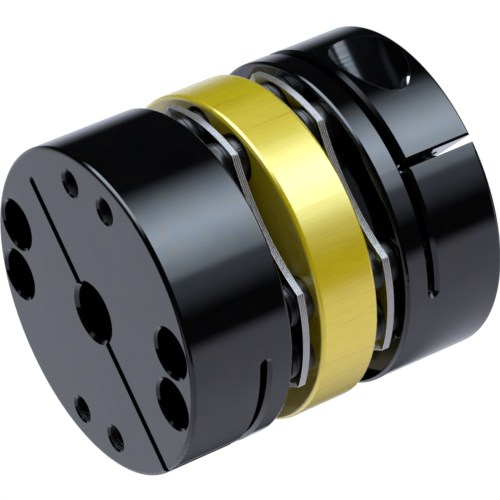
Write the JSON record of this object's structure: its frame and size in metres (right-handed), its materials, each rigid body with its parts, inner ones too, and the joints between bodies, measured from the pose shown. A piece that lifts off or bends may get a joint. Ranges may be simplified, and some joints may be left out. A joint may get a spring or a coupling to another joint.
{
  "type": "disc coupling",
  "caption": "Flexible disc coupling that joins two shafts: slit clamp hubs, a centre spacer ring and thin steel disc packs held by collared screws.",
  "frame": {"origin": "centre of the bottom hub's outer end face, on the shaft axis", "axes": "+Z along the shaft axis from the bottom hub to the top hub, +X out through the open end of the bottom hub's slit, +Y the way the bottom clamp screw's head faces"},
  "size_m": [0.068, 0.068, 0.0737],
  "materials": {
    "black_anodised_aluminium": "black anodised over fine turning, satin gloss",
    "yellow_anodised_aluminium": "yellow anodised over fine brushing along the axis, satin",
    "stainless_spring_steel": "bright rolled sheet, polished",
    "black_oxide_steel": "black oxide, oiled, gloss"
  },
  "bodies": {
    "root": {"bottom_clamp_screw": "black_oxide_steel", "bottom_hub": "black_anodised_aluminium", "lower_hub_collars_a": "black_oxide_steel", "lower_hub_collars_b": "black_oxide_steel", "lower_hub_screw_1": "black_oxide_steel", "lower_hub_screw_2": "black_oxide_steel", "lower_hub_screw_3": "black_oxide_steel", "lower_hub_screw_4": "black_oxide_steel", "lower_hub_washers_a": "black_oxide_steel", "lower_hub_washers_b": "black_oxide_steel", "lower_leaf_1": "stainless_spring_steel", "lower_leaf_2": "stainless_spring_steel", "lower_leaf_3": "stainless_spring_steel", "lower_leaf_4": "stainless_spring_steel", "lower_ring_collars_a": "black_oxide_steel", "lower_ring_collars_b": "black_oxide_steel", "lower_ring_screw_1": "black_oxide_steel", "lower_ring_screw_2": "black_oxide_steel", "lower_ring_screw_3": "black_oxide_steel", "lower_ring_screw_4": "black_oxide_steel", "lower_ring_washers_a": "black_oxide_steel", "lower_ring_washers_b": "black_oxide_steel", "spacer_ring": "yellow_anodised_aluminium", "top_clamp_screw": "black_oxide_steel", "top_hub": "black_anodised_aluminium", "upper_hub_collars_a": "black_oxide_steel", "upper_hub_collars_b": "black_oxide_steel", "upper_hub_screw_1": "black_oxide_steel", "upper_hub_screw_2": "black_oxide_steel", "upper_hub_screw_3": "black_oxide_steel", "upper_hub_screw_4": "black_oxide_steel", "upper_hub_washers_a": "black_oxide_steel", "upper_hub_washers_b": "black_oxide_steel", "upper_leaf_1": "stainless_spring_steel", "upper_leaf_2": "stainless_spring_steel", "upper_leaf_3": "stainless_spring_steel", "upper_leaf_4": "stainless_spring_steel", "upper_ring_collars_a": "black_oxide_steel", "upper_ring_collars_b": "black_oxide_steel", "upper_ring_screw_1": "black_oxide_steel", "upper_ring_screw_2": "black_oxide_steel", "upper_ring_screw_3": "black_oxide_steel", "upper_ring_screw_4": "black_oxide_steel", "upper_ring_washers_a": "black_oxide_steel", "upper_ring_washers_b": "black_oxide_steel"}
  },
  "joints": []
}
